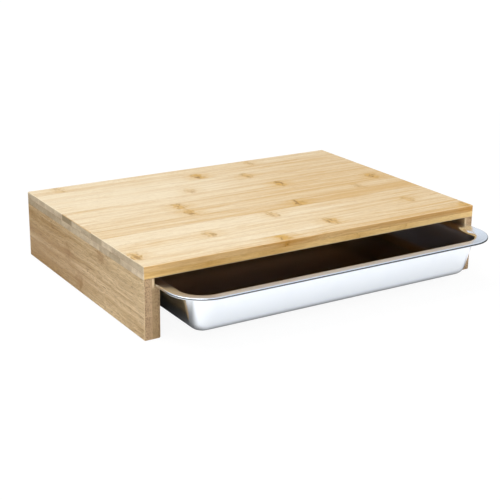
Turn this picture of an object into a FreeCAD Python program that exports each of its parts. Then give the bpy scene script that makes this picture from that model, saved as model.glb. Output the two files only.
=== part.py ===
import FreeCAD, Part

import enum
import math
import os

import Sketcher

# Bamboo cutting board on two side legs, with one drawn steel tray that slides in under it.
#
# The board is two plies of flat bamboo strips that run from side to side. Each leg is two
# layers of strips that run from front to back, and has a rabbet along its top inner edge.
# The flange of the tray lies on the two rabbets. Blind dowels and glue join board and legs.
#
# Frame: millimetres, +X to the right, the front towards -Y, +Z up, and the origin on the
# table at the middle of the whole object with its tray pulled out by tray_pull.

SIZES = {
    # Board
    "board_width": 380.0,  # left to right, over both legs
    "board_depth": 270.0,  # front to back, the legs as well
    "overall_height": 70.0,  # table to cutting surface
    "ply_thickness": 6.25,  # one of the two plies
    "ply_strips": 12,  # strips in each ply, front to back
    "upper_first_strip": 17.0,  # front strip of the upper ply; the others share the rest
    "lower_first_strip": 24.0,  # front strip of the lower ply, so that no joints line up
    "arris": 1.0,  # rounding of all sanded edges, board and legs alike
    # Legs
    "leg_layer": 8.0,  # one of a leg's two layers
    "leg_strips": 3,  # strips in each layer, table to board
    "leg_top_strip": 13.5,  # height of the top one; the others share the rest
    "foot_extra_round": 0.8,  # how much rounder a leg's bottom inner edge is
    "rabbet_drop": 7.3,  # board's underside down to the runner
    "tongue": 10.5,  # wood left outside the rabbet
    # Tray
    "tray_pull": 57.0,  # how far the tray stands out of the front
    "tray_height": 41.5,
    "sheet_steel": 0.6,
    "wall_draft": 13.0,  # degrees from upright
    "floor_corner": 3.0,  # plan radius where the flat floor ends at a corner
    "floor_bend": 12.0,  # outside radius from floor to wall
    "flange_bend": 4.5,  # radius from wall to flange, on the inside of the tray
    "flange_flat": 10.1,  # flange, from its outer edge to that bend
    "lip_drop": 2.0,  # turned-down edge of the flange
    "lip_bevel": 1.3,  # outside bevel from the flange to that edge
    # Fits of the tray
    "side_play": 0.4,  # flange to rabbet, on each side
    "runner_play": 0.3,  # lip to runner
    "back_margin": 10.0,  # rear of the closed tray to the back of the board
    "stop_play": 0.5,  # closed tray to the ends of the rabbets
    # Dowels
    "dowel_diameter": 5.0,
    "dowel_length": 20.0,
    "dowel_in_board": 8.5,  # length of a dowel above the joint
    "dowel_count": 2,  # in each leg
    "dowel_from_end": 55.0,  # first and last dowel to the leg's front and back
    "glue_film": 0.05,  # round a dowel
    "glue_pocket": 0.6,  # past each end of a dowel
}

# Sizes that follow from those, as expressions
HALF_WIDTH = "(sizes.board_width / 2)"
BOARD_THICKNESS = "(2 * sizes.ply_thickness)"
LEG_HEIGHT = f"(sizes.overall_height - {BOARD_THICKNESS})"
LEG_THICKNESS = "(2 * sizes.leg_layer)"
RUNNER_HEIGHT = f"({LEG_HEIGHT} - sizes.rabbet_drop)"
FRONT = "(-(sizes.board_depth - sizes.tray_pull) / 2)"
TRAY_HALF_WIDTH = f"({HALF_WIDTH} - sizes.tongue - sizes.side_play)"
TRAY_LENGTH = "(sizes.board_depth - sizes.back_margin)"
DOWEL_INSET = "(sizes.tongue / 2)"
DOWEL_SPAN = "(sizes.board_depth - 2 * sizes.dowel_from_end)"

doc = FreeCAD.newDocument("cutting_board")
sheet = doc.addObject("Spreadsheet::Sheet", "sizes")
for row, (alias, number) in enumerate(SIZES.items(), start=1):
    sheet.set(f"A{row}", alias)
    sheet.set(f"B{row}", str(number))
    sheet.setAlias(f"B{row}", alias)
doc.recompute()


def number_of(expression):
    """The present value of an expression on the sheet."""
    return float(sheet.evalExpression(expression))


def bind(item, **expressions):
    """Tie properties of an object to expressions; a double underscore stands for a point."""
    for name, expression in expressions.items():
        item.setExpression(name.replace("__", "."), expression)


def place(item, x="0", y="0", z="0"):
    """Tie an object's place to the sheet."""
    bind(item, Placement__Base__x=x, Placement__Base__y=y, Placement__Base__z=z)


# ---------------------------------------------------------------- bodies and sketches


class Point(enum.IntEnum):
    """How a sketch constraint names a point of a line or an arc."""

    START = 1
    END = 2
    CENTRE = 3


class SketchAxis(enum.IntEnum):
    """How a sketch constraint names the sketch's own axes."""

    ACROSS = -1
    UPRIGHT = -2


START, END, CENTRE = Point
ORIGIN = (SketchAxis.ACROSS, START)  # the point where the two axes cross


def new_body(label):
    body = doc.addObject("PartDesign::Body", label)
    body.Label = label
    return body


def origin_feature(body, role):
    return next(item for item in body.Origin.OriginFeatures if item.Role == role)


def new_sketch(body, name, plane):
    """A sketch flat on one of the body's own origin planes."""
    sketch = body.newObject("Sketcher::SketchObject", name)
    sketch.AttachmentSupport = [(origin_feature(body, plane), "")]
    sketch.MapMode = "FlatFace"
    return sketch


def offset_sketch(sketch, x="0", y="0", z="0"):
    """Move a sketch along its plane by x and y, and off its plane by z."""
    bind(
        sketch,
        AttachmentOffset__Base__x=x,
        AttachmentOffset__Base__y=y,
        AttachmentOffset__Base__z=z,
    )


def hold(sketch, kind, *where, size):
    """Add a constraint whose value is an expression on the sheet."""
    angle = kind == "Angle"
    value = number_of(size)
    sketch.addConstraint(Sketcher.Constraint(kind, *where, math.radians(value) if angle else value))
    path = f"Constraints[{sketch.ConstraintCount - 1}]"
    sketch.setExpression(path, f"({size}) * 1 deg" if angle else f"({size}) * 1 mm")


def draw_rectangle(sketch, x0, y0, x1, y1):
    """A closed outline with two opposite corners at the given expressions."""
    corners = [(x0, y0), (x1, y0), (x1, y1), (x0, y1)]
    points = [FreeCAD.Vector(number_of(x), number_of(y), 0) for x, y in corners]
    count = len(points)
    lines = [
        sketch.addGeometry(Part.LineSegment(points[n], points[(n + 1) % count]), False)
        for n in range(count)
    ]
    for n, line in enumerate(lines):
        sketch.addConstraint(Sketcher.Constraint("Coincident", line, END, lines[(n + 1) % count], START))
    for line, (x, y) in zip(lines, corners):
        hold(sketch, "DistanceX", *ORIGIN, line, START, size=x)
        hold(sketch, "DistanceY", *ORIGIN, line, START, size=y)


def pad(body, name, sketch, length, reverse=False):
    feature = body.newObject("PartDesign::Pad", name)
    feature.Profile = sketch
    feature.Reversed = reverse
    bind(feature, Length=length)
    return feature


def pocket(body, name, sketch, length, reverse=False):
    """Cut a sketch's outline away, and make sure that it took material."""
    doc.recompute()
    before = body.Shape.Volume
    feature = body.newObject("PartDesign::Pocket", name)
    feature.Profile = sketch
    feature.Reversed = reverse
    bind(feature, Length=length)
    doc.recompute()
    if body.Shape.Volume >= before:
        raise RuntimeError(f"{name} cuts nothing")
    return feature


def round_edges(body, name, radius, chosen):
    """Fillet the edges of the body whose middle satisfies a test."""
    doc.recompute()
    base = body.Tip
    edges = [
        f"Edge{number}"
        for number, edge in enumerate(base.Shape.Edges, start=1)
        if chosen(edge.CenterOfMass, base.Shape.BoundBox)
    ]
    feature = body.newObject("PartDesign::Fillet", name)
    feature.Base = (base, edges)
    bind(feature, Radius=radius)
    return feature


def near(a, b):
    return abs(a - b) < 1e-6


# ---------------------------------------------------------------- dowels and their holes


def pin_row(label, radius, length, bottom):
    """A row of upright pins in the left leg's tongue, patterned from front to back."""
    body = new_body(label)
    body.AllowCompound = True
    place(
        body,
        x=f"-{HALF_WIDTH} + {DOWEL_INSET}",
        y=f"{FRONT} + sizes.dowel_from_end",
        z=bottom,
    )
    profile = new_sketch(body, f"{label}_profile", "XZ_Plane")
    draw_rectangle(profile, "0", "0", radius, length)
    pin = body.newObject("PartDesign::Revolution", f"{label}_pin")
    pin.Profile = profile
    pin.ReferenceAxis = (profile, ["V_Axis"])
    pin.Angle = 360
    doc.recompute()
    row_of_pins = body.newObject("PartDesign::LinearPattern", f"{label}_row")
    row_of_pins.Originals = [pin]
    row_of_pins.Direction = (origin_feature(body, "Y_Axis"), [""])
    bind(row_of_pins, Length=DOWEL_SPAN, Occurrences="sizes.dowel_count")
    body.Tip = row_of_pins
    return body


def mirrored(label, source):
    """The same piece on the right of the middle plane."""
    copy = doc.addObject("Part::Mirroring", label)
    copy.Label = label
    copy.Source = source
    copy.Normal = FreeCAD.Vector(1, 0, 0)
    return copy


DOWEL_BOTTOM = f"({LEG_HEIGHT} + sizes.dowel_in_board - sizes.dowel_length)"

left_dowels = pin_row(
    "left_dowels",
    radius="(sizes.dowel_diameter / 2)",
    length="sizes.dowel_length",
    bottom=DOWEL_BOTTOM,
)
right_dowels = mirrored("right_dowels", left_dowels)

left_bores = pin_row(
    "left_bores",
    radius="(sizes.dowel_diameter / 2 + sizes.glue_film)",
    length="(sizes.dowel_length + 2 * sizes.glue_pocket)",
    bottom=f"{DOWEL_BOTTOM} - sizes.glue_pocket",
)
right_bores = mirrored("right_bores", left_bores)


# ---------------------------------------------------------------- board


def drill(label, blank, bores):
    """The blank with one row of dowel holes."""
    cut = doc.addObject("Part::Cut", label)
    cut.Base = blank
    cut.Tool = bores
    return cut


def make_board_blank():
    """The glued panel: eased all round, but flush and sharp where it lies on the legs."""
    body = new_body("board_blank")
    place(body, x=f"-{HALF_WIDTH}", y=FRONT, z=LEG_HEIGHT)
    outline = new_sketch(body, "board_outline", "XY_Plane")
    draw_rectangle(outline, "0", "0", "sizes.board_width", "sizes.board_depth")
    pad(body, "board_pad", outline, BOARD_THICKNESS)

    def over_a_leg(middle, box):
        return near(middle.z, box.ZMin) and not near(middle.x, box.Center.x)

    body.Tip = round_edges(body, "board_arrises", "sizes.arris", lambda *at: not over_a_leg(*at))
    return drill("board_drilled", drill("board_half_drilled", body, left_bores), right_bores)


def slice_off(label, blank, x, y, z, length, width, height):
    """One strip of a blank: what lies inside a box of the given corner and edges."""
    block = doc.addObject("Part::Box", f"{label}_block")
    bind(block, Length=length, Width=width, Height=height)
    place(block, x, y, z)
    strip = doc.addObject("Part::Common", label)
    strip.Label = label
    strip.Base = blank
    strip.Tool = block
    return strip


def make_ply(name, blank, first_strip, bottom):
    """The strips of one ply, numbered from the front."""
    strip = f"((sizes.board_depth - {first_strip}) / (sizes.ply_strips - 1))"
    strips = []
    for number in range(SIZES["ply_strips"]):
        front_strip = number == 0
        joint = f"{FRONT} + {first_strip} + {number - 1} * {strip}"
        strips.append(
            slice_off(
                f"{name}_{number + 1:02d}",
                blank,
                x=f"-{HALF_WIDTH}",
                y=FRONT if front_strip else joint,
                z=bottom,
                length="sizes.board_width",
                width=first_strip if front_strip else strip,
                height="sizes.ply_thickness",
            )
        )
    return strips


board_drilled = make_board_blank()
lower_strips = make_ply("lower_strip", board_drilled, "sizes.lower_first_strip", LEG_HEIGHT)
upper_strips = make_ply(
    "upper_strip", board_drilled, "sizes.upper_first_strip", f"{LEG_HEIGHT} + sizes.ply_thickness"
)


# ---------------------------------------------------------------- legs


def stop_setback():
    """How far the flange's round corner lies short of the tray's rear at a leg's inner face."""
    reach = f"({LEG_THICKNESS} - sizes.tongue - sizes.side_play)"
    return f"({CORNER_RADIUS} - sqrt({CORNER_RADIUS}^2 - ({CORNER_RADIUS} - {reach})^2))"


# Plan radii of the tray's corners, worked out from the flat floor outwards to the flange
DRAFT_SINE = "sin(sizes.wall_draft * 1 deg)"
DRAFT_COSINE = "cos(sizes.wall_draft * 1 deg)"
UNDER_BEND = "(sizes.flange_bend - sizes.sheet_steel)"
WALL_SLOPE_LENGTH = (
    f"((sizes.tray_height - sizes.flange_bend - sizes.floor_bend"
    f" + (sizes.floor_bend + {UNDER_BEND}) * {DRAFT_SINE}) / {DRAFT_COSINE})"
)
FLANGE_START = (
    f"(sizes.floor_corner + (sizes.floor_bend + {UNDER_BEND}) * {DRAFT_COSINE}"
    f" + {WALL_SLOPE_LENGTH} * {DRAFT_SINE})"
)
CORNER_RADIUS = f"({FLANGE_START} + sizes.flange_flat)"

RABBET_LENGTH = f"({TRAY_LENGTH} - {stop_setback()} + sizes.stop_play)"


def make_left_leg_blank():
    """The left leg: outer face at x = 0, front at y = 0, with the rabbet for the tray."""
    body = new_body("leg_blank")
    place(body, x=f"-{HALF_WIDTH}", y=FRONT)
    section = new_sketch(body, "leg_section", "XZ_Plane")
    draw_rectangle(section, "0", "0", LEG_THICKNESS, LEG_HEIGHT)
    pad(body, "leg_pad", section, "sizes.board_depth", reverse=True)

    def foot_inside(middle, box):
        return near(middle.y, box.Center.y) and near(middle.z, box.ZMin) and near(middle.x, box.XMax)

    def below_the_board(middle, box):
        lengthwise = near(middle.y, box.Center.y) and not near(middle.x, box.XMin)
        return not near(middle.z, box.ZMax) and not lengthwise

    foot_round = "(sizes.arris + sizes.foot_extra_round)"
    body.Tip = round_edges(body, "leg_foot_round", foot_round, foot_inside)
    body.Tip = round_edges(body, "leg_arrises", "sizes.arris", below_the_board)
    rabbet = new_sketch(body, "rabbet_section", "XZ_Plane")
    beyond = "1"
    draw_rectangle(
        rabbet, "sizes.tongue", RUNNER_HEIGHT, f"{LEG_THICKNESS} + {beyond}", f"{LEG_HEIGHT} + {beyond}"
    )
    body.Tip = pocket(body, "rabbet", rabbet, RABBET_LENGTH)
    return drill("leg_drilled", body, left_bores)


def make_left_leg(blank):
    """The strips of the left leg, outer layer first, each layer from the table up."""
    lower_strip = f"(({LEG_HEIGHT} - sizes.leg_top_strip) / (sizes.leg_strips - 1))"
    strips = []
    for layer, inset in (("outer", "0"), ("inner", "sizes.leg_layer")):
        for number in range(SIZES["leg_strips"]):
            top_strip = number == SIZES["leg_strips"] - 1
            strips.append(
                slice_off(
                    f"left_leg_{layer}_{number + 1}",
                    blank,
                    x=f"-{HALF_WIDTH} + {inset}",
                    y=FRONT,
                    z=f"{number} * {lower_strip}",
                    length="sizes.leg_layer",
                    width="sizes.board_depth",
                    height="sizes.leg_top_strip" if top_strip else lower_strip,
                )
            )
    return strips


left_leg = make_left_leg(make_left_leg_blank())
right_leg = [mirrored(strip.Label.replace("left", "right"), strip) for strip in left_leg]


# ---------------------------------------------------------------- tray


def draw_tray_section(sketch):
    """Half section of the drawn sheet: x from a corner's upright axis outwards, y up.

    Both faces of the sheet are the same chain: floor, bend, drafted wall, bend, flange,
    bevel and lip. The bends of the two faces share their centres and the straight parts
    are parallel, so the sheet is even.
    """
    steel = number_of("sizes.sheet_steel")
    height = number_of("sizes.tray_height")
    draft = math.radians(number_of("sizes.wall_draft"))
    floor_bend = number_of("sizes.floor_bend")
    flange_bend = number_of("sizes.flange_bend")
    bevel = number_of("sizes.lip_bevel")
    rim = number_of(CORNER_RADIUS)
    lip_end = height - number_of("sizes.lip_drop")
    floor_centre = FreeCAD.Vector(number_of("sizes.floor_corner"), floor_bend, 0)
    flange_centre = FreeCAD.Vector(number_of(FLANGE_START), height - flange_bend, 0)
    off_wall = FreeCAD.Vector(math.cos(draft), -math.sin(draft), 0)
    up = FreeCAD.Vector(0, 1, 0)

    def line(start, end):
        return sketch.addGeometry(Part.LineSegment(start, end), False)

    def arc(centre, radius, start, end):
        circle = Part.Circle(centre, FreeCAD.Vector(0, 0, 1), radius)
        return sketch.addGeometry(Part.ArcOfCircle(circle, start, end), False)

    def join(kind, *where):
        sketch.addConstraint(Sketcher.Constraint(kind, *where))

    def face_of_sheet(depth):
        """The chain at a depth under the inside of the tray, from the axis to the lip."""
        floor_radius = floor_bend - steel + depth
        flange_radius = flange_bend - depth
        mitre = depth * math.tan(math.pi / 8)
        floor_end = floor_centre - up * floor_radius
        flange_start = flange_centre + up * flange_radius
        flange_end = FreeCAD.Vector(rim - bevel - mitre, height - depth, 0)
        lip_head = FreeCAD.Vector(rim - depth, height - bevel - mitre, 0)
        floor = line(FreeCAD.Vector(0, floor_end.y, 0), floor_end)
        floor_arc = arc(floor_centre, floor_radius, -math.pi / 2, -draft)
        wall = line(floor_centre + off_wall * floor_radius, flange_centre - off_wall * flange_radius)
        flange_arc = arc(flange_centre, flange_radius, math.pi / 2, math.pi - draft)
        flange = line(flange_start, flange_end)
        slant = line(flange_end, lip_head)
        lip = line(lip_head, FreeCAD.Vector(rim - depth, lip_end, 0))
        join("Tangent", floor, END, floor_arc, START)
        join("Tangent", floor_arc, END, wall, START)
        join("Tangent", wall, END, flange_arc, END)
        join("Tangent", flange_arc, START, flange, START)
        join("Coincident", flange, END, slant, START)
        join("Coincident", slant, END, lip, START)
        join("PointOnObject", floor, START, SketchAxis.UPRIGHT)
        join("Horizontal", floor)
        join("Horizontal", flange)
        join("Vertical", lip)
        return floor, floor_arc, wall, flange_arc, flange, slant, lip

    floor, floor_arc, wall, flange_arc, flange, slant, lip = face_of_sheet(0)
    under = face_of_sheet(steel)
    under_floor, under_floor_arc, under_wall, under_flange_arc, _, under_slant, under_lip = under
    axis_side = line(FreeCAD.Vector(0, steel, 0), FreeCAD.Vector(0, 0, 0))
    rim_side = line(FreeCAD.Vector(rim - steel, lip_end, 0), FreeCAD.Vector(rim, lip_end, 0))

    join("Coincident", floor_arc, CENTRE, under_floor_arc, CENTRE)
    join("Coincident", flange_arc, CENTRE, under_flange_arc, CENTRE)
    join("Parallel", wall, under_wall)
    join("Parallel", slant, under_slant)
    join("Coincident", axis_side, START, floor, START)
    join("Coincident", axis_side, END, under_floor, START)
    join("Coincident", rim_side, START, under_lip, END)
    join("Coincident", rim_side, END, lip, END)
    join("Horizontal", rim_side)

    hold(sketch, "DistanceY", *ORIGIN, under_floor, END, size="0")
    hold(sketch, "Distance", axis_side, size="sizes.sheet_steel")
    hold(sketch, "DistanceX", *ORIGIN, floor_arc, CENTRE, size="sizes.floor_corner")
    hold(sketch, "Radius", under_floor_arc, size="sizes.floor_bend")
    hold(sketch, "Angle", wall, size="90 - sizes.wall_draft")
    hold(sketch, "Radius", flange_arc, size="sizes.flange_bend")
    hold(sketch, "DistanceY", *ORIGIN, flange, START, size="sizes.tray_height")
    hold(sketch, "DistanceX", flange, START, lip, START, size="sizes.flange_flat")
    hold(sketch, "DistanceX", slant, START, slant, END, size="sizes.lip_bevel")
    hold(sketch, "DistanceY", slant, END, slant, START, size="sizes.lip_bevel")
    hold(sketch, "DistanceY", rim_side, END, flange, END, size="sizes.lip_drop")
    hold(sketch, "Distance", rim_side, size="sizes.sheet_steel")
    hold(sketch, "Distance", under_slant, START, slant, size="sizes.sheet_steel")


def make_tray():
    """One corner, the two half walls beside it and a quarter of the floor, mirrored twice."""
    body = new_body("tray")
    tray_lift = f"({RUNNER_HEIGHT} + sizes.runner_play + sizes.lip_drop - sizes.tray_height)"
    place(body, y=f"{FRONT} - sizes.tray_pull + {TRAY_LENGTH} / 2", z=tray_lift)
    corner_x = f"({TRAY_HALF_WIDTH} - {CORNER_RADIUS})"
    corner_y = f"({TRAY_LENGTH} / 2 - {CORNER_RADIUS})"

    side_section = new_sketch(body, "side_section", "XZ_Plane")
    offset_sketch(side_section, x=corner_x, z=f"-{corner_y}")
    draw_tray_section(side_section)
    pad(body, "side_wall", side_section, corner_y)
    corner = body.newObject("PartDesign::Revolution", "corner")
    corner.Profile = side_section
    corner.ReferenceAxis = (side_section, ["V_Axis"])
    corner.Angle = 90

    end_section = new_sketch(body, "end_section", "YZ_Plane")
    offset_sketch(end_section, x=corner_y, z=corner_x)
    draw_tray_section(end_section)
    pad(body, "end_wall", end_section, corner_x, reverse=True)

    floor_outline = new_sketch(body, "floor_outline", "XY_Plane")
    draw_rectangle(floor_outline, "0", "0", corner_x, corner_y)
    pad(body, "floor", floor_outline, "sizes.sheet_steel")
    doc.recompute()

    for name, plane in (("left_half", "YZ_Plane"), ("front_half", "XZ_Plane")):
        mirror = body.newObject("PartDesign::Mirrored", name)
        mirror.TransformMode = "Whole shape"
        mirror.MirrorPlane = (origin_feature(body, plane), [""])
        body.Tip = mirror
        doc.recompute()
    return body


tray = make_tray()

# ---------------------------------------------------------------- check and write

pieces = [*upper_strips, *lower_strips, *left_leg, *right_leg, left_dowels, right_dowels, tray]
doc.recompute()
for item in doc.Objects:
    if {"Invalid", "Error"} & set(item.State):
        raise RuntimeError(f"{item.Label} failed: {item.State}")
for piece in pieces:
    if piece.Shape.isNull() or not piece.Shape.isValid() or piece.Shape.Volume <= 0:
        raise RuntimeError(f"{piece.Label} has no valid solid")

os.makedirs("parts", exist_ok=True)
for piece in pieces:
    piece.Shape.exportStep(f"parts/{piece.Label}.step")
    box = piece.Shape.optimalBoundingBox()
    print(
        f"{piece.Label:20s} {len(piece.Shape.Solids)} solid, {piece.Shape.Volume / 1000:8.2f} cm3,"
        f" x {box.XMin:7.2f} {box.XMax:7.2f}  y {box.YMin:7.2f} {box.YMax:7.2f}"
        f"  z {box.ZMin:6.2f} {box.ZMax:6.2f}"
    )
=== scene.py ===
# %% [markdown]
# # Bamboo cutting board with a drawn steel tray
#
# The object is a flat bamboo board on two side legs. A wide, shallow tray of polished stainless
# steel hangs by its flange in a rabbet along each leg and slides out of the front. The solids
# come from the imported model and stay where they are. Blender adds what the solids can't show:
# the fibres and knuckles of the bamboo, the soft bends of the drawn sheet, and the light.

import math

import bpy
import numpy as np
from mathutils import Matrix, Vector


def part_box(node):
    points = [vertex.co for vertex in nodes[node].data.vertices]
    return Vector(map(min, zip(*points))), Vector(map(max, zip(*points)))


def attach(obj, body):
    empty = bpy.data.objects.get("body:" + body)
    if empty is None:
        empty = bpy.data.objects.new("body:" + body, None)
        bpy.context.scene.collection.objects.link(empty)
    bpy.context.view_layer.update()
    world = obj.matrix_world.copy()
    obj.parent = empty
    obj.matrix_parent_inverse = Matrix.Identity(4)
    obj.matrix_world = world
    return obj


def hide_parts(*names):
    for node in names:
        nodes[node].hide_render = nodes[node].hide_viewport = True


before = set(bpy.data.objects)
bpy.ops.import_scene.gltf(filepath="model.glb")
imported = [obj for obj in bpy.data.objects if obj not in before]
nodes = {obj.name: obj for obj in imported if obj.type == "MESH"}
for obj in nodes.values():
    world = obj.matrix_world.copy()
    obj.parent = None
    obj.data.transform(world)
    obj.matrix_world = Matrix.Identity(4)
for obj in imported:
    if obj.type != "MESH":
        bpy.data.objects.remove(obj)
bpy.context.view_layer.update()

# %% [markdown]
# ## Units and colours
#
# The model is in metres, but a woodworker thinks of grain in millimetres, so patterns are laid
# out in millimetres. Colours are easiest to judge as 8-bit screen values. Shaders want linear
# light, so one small function converts them.

# %% Screen colours to linear light
MM = 0.001


def screen(red, green, blue):
    """Linear RGBA of an 8-bit screen colour: the sRGB curve undone, channel by channel."""
    value = np.array([red, green, blue]) / 255
    linear = np.where(value <= 0.04045, value / 12.92, ((value + 0.055) / 1.055) ** 2.4)
    return (*linear.tolist(), 1.0)


def grey(level):
    """A grey of one linear level: 0 is black and 1 is white."""
    return (level, level, level, 1.0)


print("mid grey:", [round(part, 3) for part in screen(128, 128, 128)])

# %% [markdown]
# ## Small helpers for shader nodes
#
# A shader is a graph. It could be drawn by hand in the editor, but then nobody could read how
# it came about. Written out in full, each node takes five lines, and the idea drowns in the
# wiring. These helpers add one node per call: a value goes into an input as a constant, and an
# output socket goes in as a link.

# %% Add a node and feed it
COLUMNS = 9
COLUMN_WIDTH = 220
ROW_HEIGHT = 300


def put(tree, kind, inputs=None, **settings):
    """Add a node to a tree, with its settings and with constants or links on its inputs."""
    node = tree.nodes.new(f"ShaderNode{kind}")
    row, column = divmod(len(tree.nodes), COLUMNS)
    node.location = (COLUMN_WIDTH * column, -ROW_HEIGHT * row)
    for name, value in settings.items():
        setattr(node, name, value)
    for key, value in (inputs or {}).items():
        if isinstance(value, bpy.types.NodeSocket):
            tree.links.new(value, node.inputs[key])
        else:
            node.inputs[key].default_value = value
    return node


# %% Arithmetic on numbers


def calc(tree, operation, first, second=0.0, third=0.0, clamp=False):
    """One arithmetic step on numbers; clamp holds the result between 0 and 1."""
    values = {0: first, 1: second, 2: third}
    return put(tree, "Math", values, operation=operation, use_clamp=clamp).outputs[0]


def plus(tree, first, second, clamp=False):
    """first + second."""
    return calc(tree, "ADD", first, second, clamp=clamp)


def minus(tree, first, second):
    """first - second."""
    return calc(tree, "SUBTRACT", first, second)


def times(tree, first, second, clamp=False):
    """first * second."""
    return calc(tree, "MULTIPLY", first, second, clamp=clamp)


def times_plus(tree, first, second, third):
    """first * second + third."""
    return calc(tree, "MULTIPLY_ADD", first, second, third)


def fade(tree, value, low, high, start=0.0, end=1.0, how="SMOOTHSTEP"):
    """start below low, end above high, and an S-curve between them, or a straight ramp."""
    inputs = {"Value": value, "From Min": low, "From Max": high, "To Min": start, "To Max": end}
    return put(tree, "MapRange", inputs, interpolation_type=how).outputs[0]


# %% Vectors, colours and noise


def vector(tree, operation, first, second, third=(0.0, 0.0, 0.0)):
    """One arithmetic step on vectors."""
    values = {0: first, 1: second, 2: third}
    return put(tree, "VectorMath", values, operation=operation).outputs[0]


def join(tree, x=0.0, y=0.0, z=0.0):
    """Three numbers as one vector."""
    return put(tree, "CombineXYZ", {0: x, 1: y, 2: z}).outputs[0]


def split(tree, source):
    """The x, y and z of a vector."""
    return put(tree, "SeparateXYZ", {0: source}).outputs


def mix(tree, factor, first, second):
    """first where factor is 0, second where it is 1: numbers."""
    return put(tree, "Mix", {0: factor, 2: first, 3: second}).outputs[0]


def blend(tree, factor, first, second, how="MIX"):
    """Mix two colours, or multiply the first by the second, by a factor from 0 to 1."""
    values = {0: factor, 6: first, 7: second}
    return put(tree, "Mix", values, data_type="RGBA", blend_type=how).outputs[2]


def stretch(tree, place, cycles):
    """Scale a pattern's coordinates by a different amount along each axis."""
    return vector(tree, "MULTIPLY", place, cycles)


def noise(tree, place, scale=1.0, detail=2.0, roughness=0.5):
    """Soft cloudy noise from 0 to 1, with its middle at 0.5."""
    inputs = {"Vector": place, "Scale": scale, "Detail": detail, "Roughness": roughness}
    return put(tree, "TexNoise", inputs).outputs["Fac"]


# %% [markdown]
# ## Groups and materials
#
# An effect that several materials share, such as grain, is a node group: it is built once, has
# named inputs, and each material places it with its own values. Copies of the nodes in every
# material would look the same, but a change would have to be made in all of them. Shaders stay
# in the materials, and groups only work out colours, roughness and height.

# %% New groups and new materials


def new_group(name, inputs, outputs):
    """An empty shader group with named sockets, what comes in, and the node that gives out."""
    group = bpy.data.node_groups.new(name, "ShaderNodeTree")
    for label, (kind, default) in inputs.items():
        socket = group.interface.new_socket(label, in_out="INPUT", socket_type=f"NodeSocket{kind}")
        if default is not None:
            socket.default_value = default
    for label, kind in outputs.items():
        group.interface.new_socket(label, in_out="OUTPUT", socket_type=f"NodeSocket{kind}")
    return group, group.nodes.new("NodeGroupInput").outputs, group.nodes.new("NodeGroupOutput")


def give(tree, node, results):
    """Link named results to the inputs of a node that ends a tree or feeds a shader."""
    for label, result in results.items():
        tree.links.new(result, node.inputs[label])


def use_group(tree, group, inputs):
    """Place a group in a tree, feed it, and hand back what it puts out."""
    return put(tree, "Group", inputs, node_tree=group).outputs


def new_material(name):
    """A material with its tree and its Principled shader."""
    material = bpy.data.materials.new(name)
    material.use_nodes = True
    return material, material.node_tree, material.node_tree.nodes["Principled BSDF"]


def object_mm(tree, move=(0.0, 0.0, 0.0)):
    """Object coordinates in millimetres, moved, and the direction the surface faces."""
    source = put(tree, "TexCoord").outputs
    inputs = {"Vector": source["Object"], "Scale": (1 / MM,) * 3, "Location": move}
    return put(tree, "Mapping", inputs).outputs[0], source["Normal"]


# %% [markdown]
# ## Bamboo fibre
#
# A bamboo strip is a bundle of straight fibres. Its flat face shows them as hair-fine brown
# lines on cream, a few of them stronger, and whole bands of the strip run paler or darker.
# Lines could be ruled with a wave texture, but they would repeat. Noise doesn't: here it is
# drawn out long along the grain and packed tight across it, in sizes that give bands, streaks,
# single fibres and short pores. A slow drift and smaller eddies keep the lines from being ruled.

# %% Sizes of the fibre pattern: cycles per mm along the grain, across it, and through the strip
DRIFT = (0.012, 0.03, 0.03)
EDDIES = (0.035, 0.06, 0.06)
BANDS = (0.0035, 0.17, 0.17)
STREAKS = (0.008, 0.62, 0.62)
FIBRES = (0.028, 3.0, 3.0)
PORES = (0.16, 5.5, 5.5)
SEED_STEP = (517.0, 211.0)
BAND_SHARE = 1.1
STREAK_SHARE = 2.0
MIDDLE_TONE = 1.60
LINE_EDGE = (0.50, 0.70)
PORE_EDGE = (0.62, 0.74)
LINE_TINT = 0.55
LINE_GROOVE = 0.25
STREAK_RELIEF = 0.5
ROUGHEST_SHARE = 0.16
LEAST_ROUGHNESS = 0.38
print("mm between fibres:", round(1 / FIBRES[1], 2), "between bands:", round(1 / BANDS[1], 1))

# %% Node group: fibre
group, given, result = new_group(
    "bamboo fibre",
    {
        "Vector": ("Vector", None),
        "Seed": ("Float", 0.0),
        "Pale": ("Color", screen(243, 224, 190)),
        "Deep": ("Color", screen(221, 186, 130)),
        "Tone": ("Float", 0.5),
        "Line": ("Color", screen(178, 136, 84)),
        "Line Strength": ("Float", 0.4),
        "Wander": ("Float", 9.0),
        "Swirl": ("Float", 0.0),
        "Coarse": ("Float", 1.0),
    },
    {"Color": "Color", "Roughness": "Float", "Height": "Float"},
)
fibre_group = group
seed = given["Seed"]
jump = join(group, times(group, seed, SEED_STEP[0]), times(group, seed, SEED_STEP[1]), seed)
place = vector(group, "ADD", given["Vector"], jump)

# The grain is pushed sideways: (drift - 0.5) * wander + (eddies - 0.5) * swirl, in mm.
drift = noise(group, stretch(group, place, DRIFT), detail=1.0)
sway = times(group, minus(group, drift, 0.5), given["Wander"])
eddies = noise(group, stretch(group, place, EDDIES))
sway = times_plus(group, minus(group, eddies, 0.5), given["Swirl"], sway)
bent = vector(group, "ADD", place, join(group, y=sway, z=sway))
finer = calc(group, "DIVIDE", 1.0, given["Coarse"])
grain = put(group, "VectorMath", {0: bent, 3: finer}, operation="SCALE").outputs[0]

bands = noise(group, stretch(group, grain, BANDS))
streaks = noise(group, stretch(group, grain, STREAKS), detail=4.0, roughness=0.65)
fibres = noise(group, stretch(group, grain, FIBRES), roughness=0.6)
pores = noise(group, stretch(group, grain, PORES), detail=0.0)
lines = fade(group, fibres, *LINE_EDGE)
dashes = fade(group, pores, *PORE_EDGE)

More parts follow.
